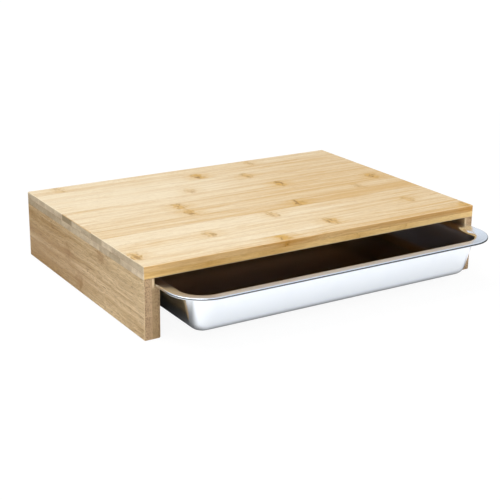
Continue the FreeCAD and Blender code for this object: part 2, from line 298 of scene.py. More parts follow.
# Tone is the strip's own tone, plus bands and streaks less their middle value.
soft = plus(group, times(group, bands, BAND_SHARE), times(group, streaks, STREAK_SHARE))
tone = plus(group, given["Tone"], minus(group, soft, MIDDLE_TONE), clamp=True)
body = blend(group, tone, given["Pale"], given["Deep"])
darkest = calc(group, "MAXIMUM", times(group, lines, LINE_TINT), dashes)
marks = times(group, darkest, given["Line Strength"])
grooves = plus(group, times(group, lines, LINE_GROOVE), dashes)
results = {
    "Color": blend(group, marks, body, given["Line"]),
    "Roughness": times_plus(group, streaks, ROUGHEST_SHARE, LEAST_ROUGHNESS),
    "Height": minus(group, times(group, streaks, STREAK_RELIEF), grooves),
}
give(group, result, results)
print(fibre_group.name, len(fibre_group.nodes), "nodes")

# %% [markdown]
# ## Knuckles
#
# A bamboo cane is closed off by a wall every span or so. Where a strip crosses one, its fibres
# turn, and planing leaves a brown blotch right across the strip, with darker strokes in it and
# a faint warm halo that runs out along the grain. A painted spot would look stuck on, so a
# knuckle is an ellipse whose place is torn by noise before its distance is measured. The same
# noise bends the strokes. Each knuckle has a seed of its own, so no two tear alike. The group
# takes the colour so far and gives it back with one knuckle on it, so a strip with two knuckles
# places the group twice.

# %% Shape of a knuckle: reaches in mm, patterns in cycles per mm
KNUCKLE_SEED_STEP = 7.3
TEAR_SCALE = 0.17
TEAR_REACH = (24.0, 12.0, 0.0)
STROKES = (0.42, 0.075, 0.3)
STROKE_BEND = (9.0, 3.0, 0.0)
STROKE_EDGE = (0.49, 0.58)
PATCH_EDGE = (0.45, 1.1)
HALO_EDGE = (0.6, 3.6)
PATCH_SHARE = 0.55
HALO_SHARE = 0.36
STROKE_SHARE = 0.9
STROKE_DEPTH = 1.2
print("mm between strokes:", round(1 / STROKES[0], 1), "their length:", round(1 / STROKES[1], 1))

# %% Node group: knuckle
group, given, result = new_group(
    "bamboo knuckle",
    {
        "Color": ("Color", None),
        "Height": ("Float", 0.0),
        "Vector": ("Vector", None),
        "Centre": ("Vector", (0.0, 0.0, 0.0)),
        "Seed": ("Float", 0.0),
        "Half Length": ("Float", 6.5),
        "Half Width": ("Float", 13.0),
        "Strength": ("Float", 1.0),
        "Patch": ("Color", screen(210, 164, 80)),
        "Fleck": ("Color", screen(154, 112, 44)),
    },
    {"Color": "Color", "Height": "Float"},
)
knuckle_group = group
strength = given["Strength"]
local = vector(group, "SUBTRACT", given["Vector"], given["Centre"])
jump = join(group, z=times(group, given["Seed"], KNUCKLE_SEED_STEP))
seeded = vector(group, "ADD", given["Vector"], jump)
torn_by = {"Vector": seeded, "Scale": TEAR_SCALE, "Detail": 4.0, "Roughness": 0.65}
tear = put(group, "TexNoise", torn_by).outputs["Color"]
pull = vector(group, "SUBTRACT", tear, (0.5, 0.5, 0.5))

# Distance is the root of (along / half length) squared + (across / half width) squared.
torn = split(group, vector(group, "MULTIPLY_ADD", pull, TEAR_REACH, local))
u = calc(group, "DIVIDE", torn[0], given["Half Length"])
v = calc(group, "DIVIDE", torn[1], given["Half Width"])
distance = calc(group, "SQRT", plus(group, times(group, u, u), times(group, v, v)))
patch = fade(group, distance, *PATCH_EDGE, 1.0, 0.0)
halo = fade(group, distance, *HALO_EDGE, 1.0, 0.0)

cross = vector(group, "MULTIPLY_ADD", pull, STROKE_BEND, seeded)
strokes = noise(group, stretch(group, cross, STROKES), detail=3.0, roughness=0.6)
fleck = fade(group, strokes, *STROKE_EDGE)
soft = times_plus(group, patch, PATCH_SHARE, times(group, halo, HALO_SHARE))
wash = times(group, soft, strength, clamp=True)
share = times(group, strength, STROKE_SHARE)
spots = times(group, times(group, patch, fleck), share, clamp=True)
tinted = blend(group, wash, given["Color"], given["Patch"])
results = {
    "Color": blend(group, spots, tinted, given["Fleck"]),
    "Height": minus(group, given["Height"], times(group, spots, STROKE_DEPTH)),
}
give(group, result, results)
print(knuckle_group.name, len(knuckle_group.nodes), "nodes")

# %% [markdown]
# ## End grain
#
# Sawn across, each fibre bundle is a brown dot. The dots crowd together towards the skin of the
# cane and thin out towards its hollow, so they grade from one face of the strip to the other.
# Noise would only give blots. A Voronoi pattern gives every bundle a cell and a point of its
# own, and the size of the dot follows the depth. Soft clouds darken the ground between them.

# %% Size of a dot, as a share of its cell, and the clouds between the dots
SMALLEST_DOT = 0.16
SKIN_GROWTH = 0.3
SOFT_RIM = 0.16
DOT_DEPTH = -0.8
END_SEED_STEP = 9.0
CLOUD_SCALE = 0.1
CLOUD_EDGE = (0.3, 0.7)
CLOUD_SHARE = 0.26
largest = round(SMALLEST_DOT + SKIN_GROWTH, 2)
print("dots reach out to", SMALLEST_DOT, "to", largest, "of a cell")

# %% Node group: end grain
group, given, result = new_group(
    "bamboo end grain",
    {
        "Vector": ("Vector", None),
        "Seed": ("Float", 0.0),
        "Skin": ("Float", 0.5),
        "Ground": ("Color", screen(226, 204, 170)),
        "Dot": ("Color", screen(140, 104, 66)),
        "Dots per mm": ("Float", 1.25),
        "Dot Strength": ("Float", 0.4),
    },
    {"Color": "Color", "Height": "Float"},
)
end_group = group
place = split(group, given["Vector"])
flat = join(group, place[1], place[2], times(group, given["Seed"], END_SEED_STEP))
cell_inputs = {"Vector": flat, "Scale": given["Dots per mm"], "Randomness": 0.9}
cells = put(group, "TexVoronoi", cell_inputs).outputs["Distance"]

# A dot is full out to its size, which grows towards the skin, and gone one soft rim later.
size = times_plus(group, given["Skin"], SKIN_GROWTH, SMALLEST_DOT)
dots = fade(group, cells, size, plus(group, size, SOFT_RIM), 1.0, 0.0, how="LINEAR")
cloud = noise(group, flat, scale=CLOUD_SCALE, roughness=0.55)
clouded = fade(group, cloud, *CLOUD_EDGE, 0.0, CLOUD_SHARE)
ground = blend(group, clouded, given["Ground"], given["Dot"])
dotted = blend(group, times(group, dots, given["Dot Strength"]), ground, given["Dot"])
give(group, result, {"Color": dotted, "Height": times(group, dots, DOT_DEPTH)})
print(end_group.name, len(end_group.nodes), "nodes")

# %% [markdown]
# ## One material per strip
#
# A strip is laid out in its own millimetres: along the grain, across the strip, and through its
# thickness, from the strip's lowest corner. One material could cover the whole board and look
# the strip up by place, but then every change would touch them all. A material of its own gives
# each strip its own tones, knuckles and seed, and the groups above do the repeating.

# %% A strip's own place and directions
GRAIN_AXES = {"x": (0, 1, 2), "y": (1, 2, 0)}


def strip_place(tree, node_name, grain):
    """A point's place in its strip, position / mm - lowest corner, with the grain's axis first."""
    low, high = (np.array(corner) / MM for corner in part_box(node_name))
    order = GRAIN_AXES[grain]
    laid, normal = object_mm(tree, tuple(-low))
    place = split(tree, laid)
    facing = split(tree, normal)
    along, across, depth = (place[axis] for axis in order)
    length, width, thickness = (float((high - low)[axis]) for axis in order)
    return {
        "along": along,
        "across": across,
        "depth": depth,
        "point": join(tree, along, across, depth),
        "length": length,
        "width": width,
        "thickness": thickness,
        "facing": facing,
        "end": calc(tree, "ABSOLUTE", facing[order[0]]),
        "side": calc(tree, "ABSOLUTE", facing[order[1]]),
    }


# %% [markdown]
# ## The long faces of a strip
#
# The flat face of a strip is planed and its sides are sawn, so the sides are duller and take the
# tone of the strip's core. The tone slides from one end of the strip to the other. This is partly
# the strip's own colour and partly painted shade: on the board's top the strips darken towards
# the right, and on the legs towards the back, away from the lamps. The knuckles are laid on one
# after the other, and each takes its seed from the strip and from its own place.

# %% Fibre and knuckles
SIDE_FACES = (0.5, 0.9)
TONE_SLIDES = (0.15, 0.85)
KNUCKLE_WIDTH = 0.58
KNUCKLE_SEED_LENGTH = 40.0


def long_faces(tree, strip, look, knuckles, seed):
    """Colour, height and roughness of the fibre with its knuckles, darker on the sawn sides."""
    sawn = fade(tree, strip["side"], *SIDE_FACES)
    far = times_plus(tree, sawn, look["core"] - look["far"], look["far"])
    start, stop = (share * strip["length"] for share in TONE_SLIDES)
    inputs = {
        "Vector": strip["point"],
        "Seed": seed,
        "Tone": fade(tree, strip["along"], start, stop, look["near"], far),
        "Pale": look["pale"],
        "Deep": look["deep"],
        "Line": look["line"],
        "Line Strength": look["lines"],
        "Wander": look["wander"],
        "Swirl": look["swirl"],
        "Coarse": look["coarse"],
    }
    fibre = use_group(tree, fibre_group, inputs)
    colour, height = fibre["Color"], fibre["Height"]
    for spot, strength in knuckles:
        inputs = {
            "Color": colour,
            "Height": height,
            "Vector": strip["point"],
            "Seed": seed + spot / KNUCKLE_SEED_LENGTH,
            "Centre": (spot, 0.5 * strip["width"], 0.5 * strip["thickness"]),
            "Strength": strength,
            "Half Width": KNUCKLE_WIDTH * strip["width"],
            "Half Length": look["knuckle"],
            "Patch": look["patch"],
        }
        marked = use_group(tree, knuckle_group, inputs)
        colour, height = marked["Color"], marked["Height"]
    colour = blend(tree, sawn, colour, look["side"], how="MULTIPLY")
    return colour, height, fibre["Roughness"]


# %% [markdown]
# ## The cut ends and the edges
#
# The ends show dots instead of lines. The skin side of a strip may face up or down, whichever
# way it went into the press. The top strip of each leg's inner layer gets a pale band of painted
# highlight on its ends, beside the slot.
# The underside is made browner and darker as painted shade, since it lies in shade over the
# tray, whose steel mirrors it. Every arris is broken with sandpaper, which bares paler wood, and
# its rounded face also carries a painted highlight, pale or, on some strips, tan. The direction
# of the face picks between all of these, since a rounded edge is the only place that faces none
# of the three axes.

# %% End grain, underside and sanded edges
END_FACES = (0.6, 0.9)
# Where the pale band of painted highlight lies on a strip's ends: shares of its thickness and
# width.
SLOT_HIGHLIGHT_DEPTHS = (0.18, 0.34)
SLOT_HIGHLIGHT_SPREAD = (0.15, 0.65)
DOWN_FACES = (-0.9, -0.5)
ROUNDED_FACES = (0.86, 0.985)


def cut_ends(tree, strip, look, seed):
    """Where the ends are, and the colour and height of their dots."""
    skin = calc(tree, "DIVIDE", strip["depth"], strip["thickness"])
    if look["skin_down"]:
        skin = minus(tree, 1.0, skin)
    dots_per_mm, dot_strength = look["dots"]
    inputs = {
        "Vector": strip["point"],
        "Seed": seed,
        "Skin": skin,
        "Ground": look["end"],
        "Dot": look["dot"],
        "Dots per mm": dots_per_mm,
        "Dot Strength": dot_strength,
    }
    ends = use_group(tree, end_group, inputs)
    # Painted highlight: a pale band near one face of the strip, on its ends.
    start, stop = (share * strip["width"] for share in SLOT_HIGHLIGHT_SPREAD)
    slot_highlight = fade(tree, skin, *SLOT_HIGHLIGHT_DEPTHS, look["slot_highlight"], 0.0)
    slot_highlight = times(tree, slot_highlight, fade(tree, strip["across"], start, stop))
    colour = blend(tree, slot_highlight, ends["Color"], look["sanded"])
    return fade(tree, strip["end"], *END_FACES), colour, ends["Height"]


def finish_edges(tree, strip, look, colour):
    """Painted shade below, and pale sanded wood with a painted highlight where the largest part of
    the direction is well under 1.
    """
    # Painted shade: faces that look down are made browner and darker.
    under = fade(tree, strip["facing"][2], *DOWN_FACES, look["under"], 0.0)
    colour = blend(tree, under, colour, look["underside_shade_colour"], how="MULTIPLY")
    x, y, z = (calc(tree, "ABSOLUTE", strip["facing"][axis]) for axis in range(3))
    # Painted highlight on rounded edges, over partly paler sanded wood.
    flattest = calc(tree, "MAXIMUM", x, calc(tree, "MAXIMUM", y, z))
    arris = fade(tree, flattest, *ROUNDED_FACES, look["arris"], 0.0)
    return blend(tree, arris, colour, look["sanded"])


# %% [markdown]
# ## Glue joints and the whole strip
#
# A glue joint is a hair-fine dark line where two strips meet. It needs no geometry: it lies
# within a third of a millimetre of the strip's own border, so the distance to that border draws
# it. On the long faces only the borders to the left and right neighbour count, and on the ends
# the border between the plies counts too. The line also goes into the bump as a small groove.

# %% Build a strip's material
JOINT_EDGE = (0.05, 0.35)
JOINT_FACES = (0.4, 0.7)
BEYOND_REACH = 9.0
FIBRE_RELIEF = 0.05 * MM
FIBRE_BUMP = 0.6
WOOD_SPECULAR = 0.35


def glue_joint(tree, strip, on_end):
    """1 on the joint: the least of the distances to the borders, min(place, size - place)."""
    across, depth = strip["across"], strip["depth"]
    edge = calc(tree, "MINIMUM", across, minus(tree, strip["width"], across))
    ply = calc(tree, "MINIMUM", depth, minus(tree, strip["thickness"], depth))
    ply = plus(tree, ply, times(tree, minus(tree, 1.0, on_end), BEYOND_REACH))
    edge = calc(tree, "MINIMUM", edge, ply)
    line = fade(tree, edge, *JOINT_EDGE, 1.0, 0.0)
    return times(tree, line, fade(tree, strip["side"], *JOINT_FACES, 1.0, 0.0))


def strip_material(node_name, grain, look, knuckles, seed):
    """Bamboo for one strip; grain is "x" or "y", look holds its colours and tones."""
    material, tree, shader = new_material(f"bamboo {node_name}")
    strip = strip_place(tree, node_name, grain)
    colour, height, roughness = long_faces(tree, strip, look, knuckles, seed)
    on_end, end_colour, end_height = cut_ends(tree, strip, look, seed)
    colour = blend(tree, on_end, colour, end_colour)
    height = plus(tree, height, times(tree, on_end, end_height))
    colour = finish_edges(tree, strip, look, colour)

    joint = glue_joint(tree, strip, on_end)
    colour = blend(tree, times(tree, joint, look["joint"]), colour, look["line"])
    relief = minus(tree, height, joint)
    inputs = {"Height": relief, "Distance": FIBRE_RELIEF, "Strength": FIBRE_BUMP}
    bump = put(tree, "Bump", inputs).outputs[0]
    give(tree, shader, {"Base Color": colour, "Roughness": roughness, "Normal": bump})
    shader.inputs["Specular IOR Level"].default_value = WOOD_SPECULAR
    return material


def dress(node_name, grain, look, knuckles, seed):
    """Give a CAD node its own bamboo on all of its slots."""
    piece = nodes[node_name]
    piece.data.materials.clear()
    piece.data.materials.append(strip_material(node_name, grain, look, knuckles, seed))


def toned(family, near, far, skin_down, **changes):
    """A family's look with one strip's tones; the core has the far end's, unless it is given."""
    return {**family, "near": near, "far": far, "core": far, "skin_down": skin_down, **changes}


# %% [markdown]
# ## The board's strips
#
# Strips are sorted only roughly by colour before they are glued, so neighbours differ a little.
# Random tones would do for any board, but this board has its own: tables give each strip a tone
# at its left and its right end, from 0 for the palest cream to 1 for warm honey, its knuckles
# by their distance from the left end and their strength, and how light its end grain is.
# The front strip has a paler front edge and a weaker painted highlight along its edges, and
# strips 6 to 8 have a tan painted highlight on their edges instead of a pale one.

# %% The look that all the board's strips share
BOARD = {
    "pale": screen(243, 225, 191),
    "deep": screen(216, 177, 114),
    "line": screen(176, 134, 84),
    "lines": 0.42,
    "side": screen(228, 206, 172),
    "dot": screen(140, 108, 74),
    "joint": 0.45,
    "wander": 9.0,
    "swirl": 1.5,
    "coarse": 1.35,
    "dots": (1.25, 0.38),
    "slot_highlight": 0.0,
    "knuckle": 7.0,
    "patch": screen(210, 164, 78),
    # Strength of the painted highlight on rounded edges, partly paler sanded wood.
    "arris": 0.7,
    # Painted shade on faces that look down: its share, then its colour.
    "under": 1.0,
    "underside_shade_colour": screen(208, 166, 120),
    # Colour of that painted highlight on the edges.
    "sanded": screen(246, 230, 198),
}


def board_end(lighter):
    """The board's end-grain colour, so many 8-bit steps lighter."""
    return screen(214 + lighter, 196 + lighter, 165 + lighter)


# %% Upper ply
# Each upper strip is darker at its right end: partly its own tone, partly painted shade.
UPPER_TONES = {
    1: (0.30, 0.90),
    2: (0.10, 0.66),
    3: (0.20, 0.65),
    4: (0.00, 0.66),
    5: (0.55, 1.00),
    6: (0.40, 0.92),
    7: (0.25, 0.88),
    8: (0.35, 0.76),
    9: (0.00, 0.60),
    10: (0.05, 0.66),
    11: (0.20, 0.62),
    12: (0.28, 0.50),
}
UPPER_KNUCKLES = {
    1: [(150, 1.3), (374, 0.9)],
    2: [(6, 0.8), (220, 0.9)],
    3: [(96, 0.6), (335, 0.6)],
    4: [(181, 0.6)],
    5: [(227, 1.0)],
    6: [(114, 0.9), (321, 0.45)],
    7: [(113, 0.9), (359, 1.0)],
    8: [(250, 1.1)],
    9: [(151, 0.45)],
    10: [(236, 0.7)],
    11: [(187, 1.1)],
    12: [(30, 0.4), (267, 0.5)],
}
UPPER_ENDS = {1: 8, 2: 8, 3: 2, 4: 20, 5: -10, 6: -2, 7: 6, 8: -42, 9: 12, 10: 14, 11: 12, 12: 8}
# Strips 6 to 8 get a tan painted highlight on their edges, and the front strip a weaker one.
TAN_EDGE = {"sanded": screen(212, 174, 120), "arris": 0.9}
FRONT_EDGE = {"side": screen(250, 227, 188), "core": 0.62, "arris": 0.25}
UPPER_CHANGES = {1: FRONT_EDGE, 6: TAN_EDGE, 7: TAN_EDGE, 8: TAN_EDGE}
UPPER_SEED = 1.0

for number, (near, far) in UPPER_TONES.items():
    changes = UPPER_CHANGES.get(number, {})
    end = board_end(UPPER_ENDS[number])
    look = toned(BOARD, near, far, number % 3 == 0, end=end, **changes)
    name = f"upper_strip_{number:02d}"
    dress(name, "x", look, UPPER_KNUCKLES[number], UPPER_SEED + number)
print("upper strips dressed:", len(UPPER_TONES))

# %% Lower ply: plain tones in turn, and a paler strip along the front
LOWER_TONES = (0.3, 0.7, 0.5, 0.15)
LOWER_KNUCKLES = {
    1: [(65, 0.8), (232, 0.8), (290, 0.7)],
    5: [(90, 0.8)],
    8: [(260, 0.9)],
    11: [(150, 0.8)],
}
LOWER_ENDS = {
    1: 28,
    2: 14,
    3: -10,
    4: 2,
    5: 14,
    6: 9,
    7: 4,
    8: 2,
    9: -8,
    10: -16,
    11: -16,
    12: -18,
}
LOWER_FRONT = {
    "pale": screen(255, 232, 190),
    "near": 0.55,
    "far": -0.1,
    "core": -0.1,
    "side": screen(255, 240, 202),
}
LOWER_SEED = 20.0

for number, lighter in LOWER_ENDS.items():
    near = LOWER_TONES[number % len(LOWER_TONES)]
    look = toned(BOARD, near, 1.0 - near, number % 2 == 0, end=board_end(lighter))
    if number == 1:
        look |= LOWER_FRONT
    knuckles = LOWER_KNUCKLES.get(number, [])
    name = f"lower_strip_{number:02d}"
    dress(name, "x", look, knuckles, LOWER_SEED + number)
print("lower strips dressed:", len(LOWER_ENDS))

# %% [markdown]
# ## The legs' strips
#
# In the legs the grain runs from front to back, and the strips stand on edge, so the side of
# each leg shows coarser, browner fibre with swirls where a knuckle was cut at a slant. It is the
# same material with other values: the coarse value widens the fibres, the swirl value bends
# them, and the tone is darkest in the lowest strip. The two layers of a leg are glued with
# their skin sides facing opposite ways, and the top strip of the inner layer gets a pale band of
# painted highlight at its ends, beside the slot. The dowels would be beech. Nothing of them shows
# in a glued board, so they take the legs' wood in one even, pale tone.

# %% Dress the legs
LEG = {
    "pale": screen(236, 210, 165),
    "deep": screen(184, 148, 98),
    "line": screen(126, 86, 46),
    "lines": 0.76,
    "side": screen(236, 222, 200),
    "end": screen(200, 172, 138),
    "dot": screen(126, 92, 60),
    "joint": 0.12,
    "wander": 9.0,
    "swirl": 5.0,
    "coarse": 1.9,
    "dots": (0.75, 0.6),
    "slot_highlight": 0.0,
    "knuckle": 9.0,
    "patch": screen(172, 134, 92),
    # Painted highlight on the legs' rounded edges; its colour also serves the slot band.
    "arris": 0.55,
    "under": 0.0,
    "underside_shade_colour": screen(196, 176, 150),
    "sanded": screen(236, 212, 172),
}
# Each leg strip darkens towards the back: partly its own tone, partly painted shade.
LEG_TONES = {1: (0.54, 1.14), 2: (0.34, 0.94), 3: (0.34, 0.92)}
LEG_ENDS = {"outer": screen(207, 175, 136), "inner": screen(188, 158, 116)}
LEG_KNUCKLES = {("outer", 1): [(140, 0.6)], ("outer", 2): [(167, 0.45)], ("outer", 3): [(90, 0.7)]}
# The top strip of each inner layer gets the pale band of painted highlight on its ends, beside the
# slot.
LEG_CHANGES = {("inner", 3): {"slot_highlight": 0.85}}
LEG_SEED = 40.0
DOWEL_TONE = 0.2
DOWEL_SEED = 60.0

seed = LEG_SEED
for side in ("left", "right"):
    for layer, end in LEG_ENDS.items():
        skin_down = (layer == "outer") == (side == "left")
        for number, (near, far) in LEG_TONES.items():
            seed += 1.0
            changes = LEG_CHANGES.get((layer, number), {})
            look = toned(LEG, near, far, skin_down, end=end, **changes)
            knuckles = LEG_KNUCKLES.get((layer, number), [])
            dress(f"{side}_leg_{layer}_{number}", "y", look, knuckles, seed)
print("leg strips dressed:", round(seed - LEG_SEED))

# %% Dress the dowels
even = toned(LEG, DOWEL_TONE, DOWEL_TONE, False)
for name in ("left_dowels", "right_dowels"):
    dress(name, "y", even, [], DOWEL_SEED)
print("dowels dressed: 2 pairs")

# %% [markdown]
# ## The tray
#
# The tray is one sheet of steel, pressed over a punch: flat floor, round bend, drafted wall, a
# tighter bend, a flange and a turned-down lip. A press never leaves a flange quite flat, so it
# slopes down inwards by a few degrees. A subdivided box would need loops of edges at every bend
# to hold it. One section describes the sheet all the way round instead, and it is carried on a
# path of four straights and four quarter turns about upright corner axes, so a point of the
# section that lies further out also turns on a larger radius. Both faces of the sheet are one
# closed chain, joined by the round edge of the lip.

# %% Sizes of the sheet
tray_low, tray_high = (np.array(corner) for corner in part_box("tray"))
tray_height = float(tray_high[2] - tray_low[2])
SHEET = 0.6 * MM
DRAFT = math.radians(13.0)
FLOOR_CORNER = 3.0 * MM
FLOOR_BEND = 12.0 * MM
FLANGE_BEND = 4.5 * MM
FLANGE_FLAT = 10.1 * MM
FLANGE_DISH = math.radians(5.3)
LIP_BEND = 0.9 * MM
LIP_DROP = 2.2 * MM
print("tray:", (tray_high - tray_low).round(4))

# %% Points along each stretch of the section
FLOOR_BEND_POINTS = 14
WALL_POINTS = 8
FLANGE_BEND_POINTS = 12
FLANGE_POINTS = 6
LIP_BEND_POINTS = 9
LIP_EDGE_POINTS = 7
CORNER_POINTS = 18


def arc(centre, radius, start, end, count):
    """Points on a circle: centre plus radius times (cosine, sine), angles evenly spaced."""
    angle = np.linspace(math.radians(start), math.radians(end), count)
    return np.array(centre) + radius * np.stack([np.cos(angle), np.sin(angle)], axis=1)


def between(start, end, count):
    """Points evenly spaced on a straight line, without its two ends."""
    return np.linspace(start, end, count)[1:-1]


def sheet_face(depth):
    """One face of the sheet, depth under the inside: (distance from the corner axis, height).

    The wall leans out by the draft, so its reach is its rise times the tangent of the draft. The
    flange bend is sunk by the flange's reach times the tangent of its slope, to meet the lip.
    """
    draft = math.degrees(DRAFT)
    dish = math.degrees(FLANGE_DISH)
    bends = FLOOR_BEND + (FLANGE_BEND - SHEET)
    rise = tray_height - FLANGE_BEND - FLOOR_BEND + bends * math.sin(DRAFT)
    reach = FLOOR_CORNER + bends * math.cos(DRAFT) + rise * math.tan(DRAFT)
    rim = reach + FLANGE_FLAT
    lip_start = np.array([rim - LIP_BEND, tray_height - LIP_BEND])
    sunk = (lip_start[0] - reach) * math.tan(FLANGE_DISH)
    sunk += (FLANGE_BEND - LIP_BEND) * (1 / math.cos(FLANGE_DISH) - 1)

    floor_centre = (FLOOR_CORNER, FLOOR_BEND)
    flange_centre = (reach, tray_height - FLANGE_BEND - sunk)
    floor_radius = FLOOR_BEND - SHEET + depth
    floor_bend = arc(floor_centre, floor_radius, -90, -draft, FLOOR_BEND_POINTS)
    flange_radius = FLANGE_BEND - depth
    flange_bend = arc(flange_centre, flange_radius, 180 - draft, 90 + dish, FLANGE_BEND_POINTS)
    lip_bend = arc(lip_start, LIP_BEND - depth, 90 + dish, 0, LIP_BEND_POINTS)
    wall = between(floor_bend[-1], flange_bend[0], WALL_POINTS)
    flange = between(flange_bend[-1], lip_bend[0], FLANGE_POINTS)
    return np.concatenate([floor_bend, wall, flange_bend, flange, lip_bend]), rim


inside, rim = sheet_face(0.0)
outside, _ = sheet_face(SHEET)
lip_centre = (rim - SHEET / 2, tray_height - LIP_DROP + SHEET / 2)
lip_edge = arc(lip_centre, SHEET / 2, 0, -180, LIP_EDGE_POINTS)
section = np.concatenate([inside, lip_edge, outside[::-1]])
print("section points:", len(section))

# %% [markdown]
# ## From the section to a closed sheet
#
# Each point of the section makes one ring round the tray. Rings are joined by quads, and the
# floor is filled by rings that shrink towards the middle, with a fan at the very middle, so
# there is no open edge anywhere. The order of a quad's corners decides which way it faces. The
# signed volume tells whether all of them face outwards: it is positive then, and about the
# volume of the steel.

# %% Rings round the tray
FLOOR_RINGS = (0.25, 0.5, 0.75)


def corner_path(half_x, half_y, turn):
    """Round the tray once: the corner axis for each step, and the outward direction there.

    The direction is (cosine, sine) of an angle that turns through a quarter at each corner, and
    the axis stays at (plus or minus half x, plus or minus half y) while it turns.
    """
    angle = np.linspace(0, math.pi / 2, turn)
    starts = np.arange(4) * math.pi / 2
    heading = (starts[:, None] + angle[None, :]).ravel()
    signs = np.array([(1, 1), (-1, 1), (-1, -1), (1, -1)])
    axis = np.repeat(signs * np.array([half_x, half_y]), turn, axis=0)
    return axis, np.stack([np.cos(heading), np.sin(heading)], axis=1)


def tray_rings():
    """The point is (corner axis + distance * direction), shrunk to the middle over the floor."""
    half = (tray_high - tray_low)[:2] / 2 - rim
    axis, outward = corner_path(*half, turn=CORNER_POINTS)
    flat = axis[None] + section[:, None, :1] * outward[None]
    height = np.repeat(section[:, None, 1:], len(axis), axis=1)
    rings = np.concatenate([flat, height], axis=2)
    shrink = np.array(FLOOR_RINGS)[:, None, None]
    inner = rings[:1] * [1, 1, 0] * shrink + rings[:1] * [0, 0, 1]
    outer = rings[-1:] * [1, 1, 0] * shrink[::-1] + rings[-1:] * [0, 0, 1]
    return np.concatenate([inner, rings, outer])


def closed_shell(rings):
    """Quads between neighbouring rings, and a fan to a middle point at each end."""
    count, steps, _ = rings.shape
    points = np.concatenate([rings.reshape(-1, 3), rings[[0, -1]].mean(axis=1)])
    ring = np.arange(count - 1)[:, None] * steps
    step = np.arange(steps)
    after = (step + 1) % steps
    corners = [ring + step, ring + steps + step, ring + steps + after, ring + after]
    quads = np.stack(corners, axis=2).reshape(-1, 4)
    first, last = count * steps, count * steps + 1
    top = (count - 1) * steps
    first_fan = np.stack([step, after, np.full(steps, first)], axis=1)
    last_fan = np.stack([top + after, top + step, np.full(steps, last)], axis=1)
    return points, quads.tolist() + first_fan.tolist() + last_fan.tolist()


# %% Make the tray and check which way it faces
CUBIC_CM = 1e6


def mesh_object(name, points, faces):
    """A new object at the origin, with its place in its mesh."""
    mesh = bpy.data.meshes.new(name)
    mesh.from_pydata(points, [], faces)
    piece = bpy.data.objects.new(name, mesh)
    bpy.context.scene.collection.objects.link(piece)
    return piece


def signed_volume(mesh):
    """Sum of each triangle's tetrahedron to the origin: positive when faces point outwards."""
    mesh.calc_loop_triangles()
    points = np.empty(len(mesh.vertices) * 3)
    mesh.vertices.foreach_get("co", points)
    corners = np.empty(len(mesh.loop_triangles) * 3, int)
    mesh.loop_triangles.foreach_get("vertices", corners)
    a, b, c = points.reshape(-1, 3)[corners.reshape(-1, 3)].transpose(1, 0, 2)
    return float(np.einsum("ij,ij->i", a, np.cross(b, c)).sum() / 6)


points, faces = closed_shell(tray_rings())
middle = (tray_low + tray_high) / 2
points += [middle[0], middle[1], tray_low[2]]
tray = mesh_object("drawn_tray", points.tolist(), faces)
tray.data.shade_smooth()
print("tray volume, cm3:", round(signed_volume(tray.data) * CUBIC_CM, 2))

# %% [markdown]
# ## Polished steel
#
# Mirror polish is never perfect: buffing leaves hair scratches and a faint haze, and pressing
# leaves the sheet very slightly wavy. Scratches as real grooves would be finer than a pixel and
# turn to noise, so they and the haze only go into roughness. The waves are wide and go into the
# bump. Towards the rim the steel is satin, because the wheel can't follow the flange as closely
# as the wall, and the haze shifts the colour a little between two cool greys of steel.

# %% Node group: polish marks
WAVE_SCALE = 0.03
HAZE_SCALE = 0.05
SCRATCHES = (0.08, 3.0, 3.0)
HAZE_SHARE = 0.06
SCRATCH_SHARE = 0.05
MARKS_OFFSET = -0.055

group, given, result = new_group(
    "polish marks",
    {"Vector": ("Vector", None), "Roughness": ("Float", 0.1)},
    {"Roughness": "Float", "Height": "Float", "Haze": "Float"},
)
polish_group = group
place = given["Vector"]
waves = noise(group, place, scale=WAVE_SCALE, detail=1.0)
haze = noise(group, place, scale=HAZE_SCALE, detail=4.0, roughness=0.6)
scratches = noise(group, stretch(group, place, SCRATCHES), detail=3.0, roughness=0.7)

# Roughness gains haze * share + scratches * share + offset, which comes to about nothing.
rough = times_plus(group, scratches, SCRATCH_SHARE, MARKS_OFFSET)
rough = times_plus(group, haze, HAZE_SHARE, rough)
rough = plus(group, rough, given["Roughness"])
give(group, result, {"Roughness": rough, "Height": waves, "Haze": haze})
print(polish_group.name, len(polish_group.nodes), "nodes")

# %% Steel material
MIRROR_ROUGHNESS = 0.15
SATIN_ROUGHNESS = 0.26
SATIN_BELOW_RIM = (1.3, 0.9)
WAVE_RELIEF = 0.25 * MM
WAVE_BUMP = 0.5

steel, tree, shader = new_material("polished steel")
place, _ = object_mm(tree)
height = split(tree, place)[2]
satin_from, satin_to = (float(tray_high[2]) / MM - drop for drop in SATIN_BELOW_RIM)
satin = fade(tree, height, satin_from, satin_to, MIRROR_ROUGHNESS, SATIN_ROUGHNESS)
marks = use_group(tree, polish_group, {"Vector": place, "Roughness": satin})
tint = blend(tree, marks["Haze"], screen(236, 240, 245), screen(228, 233, 239))
relief = {"Height": marks["Height"], "Distance": WAVE_RELIEF, "Strength": WAVE_BUMP}
bump = put(tree, "Bump", relief).outputs[0]
give(tree, shader, {"Base Color": tint, "Roughness": marks["Roughness"], "Normal": bump})
shader.inputs["Metallic"].default_value = 1.0

tray.data.materials.append(steel)
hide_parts("tray")
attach(tray, "tray")
print("mirror up to", round(satin_from, 2), "mm, satin from", round(satin_to, 2), "mm")

# %% [markdown]
# ## A studio that mirrors can see
#
# Matt wood only asks how much light falls on it, but polished steel shows what stands round it.
# Here that is a table that is pale close by, in a studio that is darker farther off and low
# behind the camera, which gives the walls their soft bright and dark bands. Cards and curtains
# could be built, but they would also shade the wood. Instead the floor and the sky look at which
# ray asks. The camera sees them white or nearly so. A ray that comes from a mirror sees the
# studio. A ray from a matt surface, or a mirror seen by one, gets plain even light.

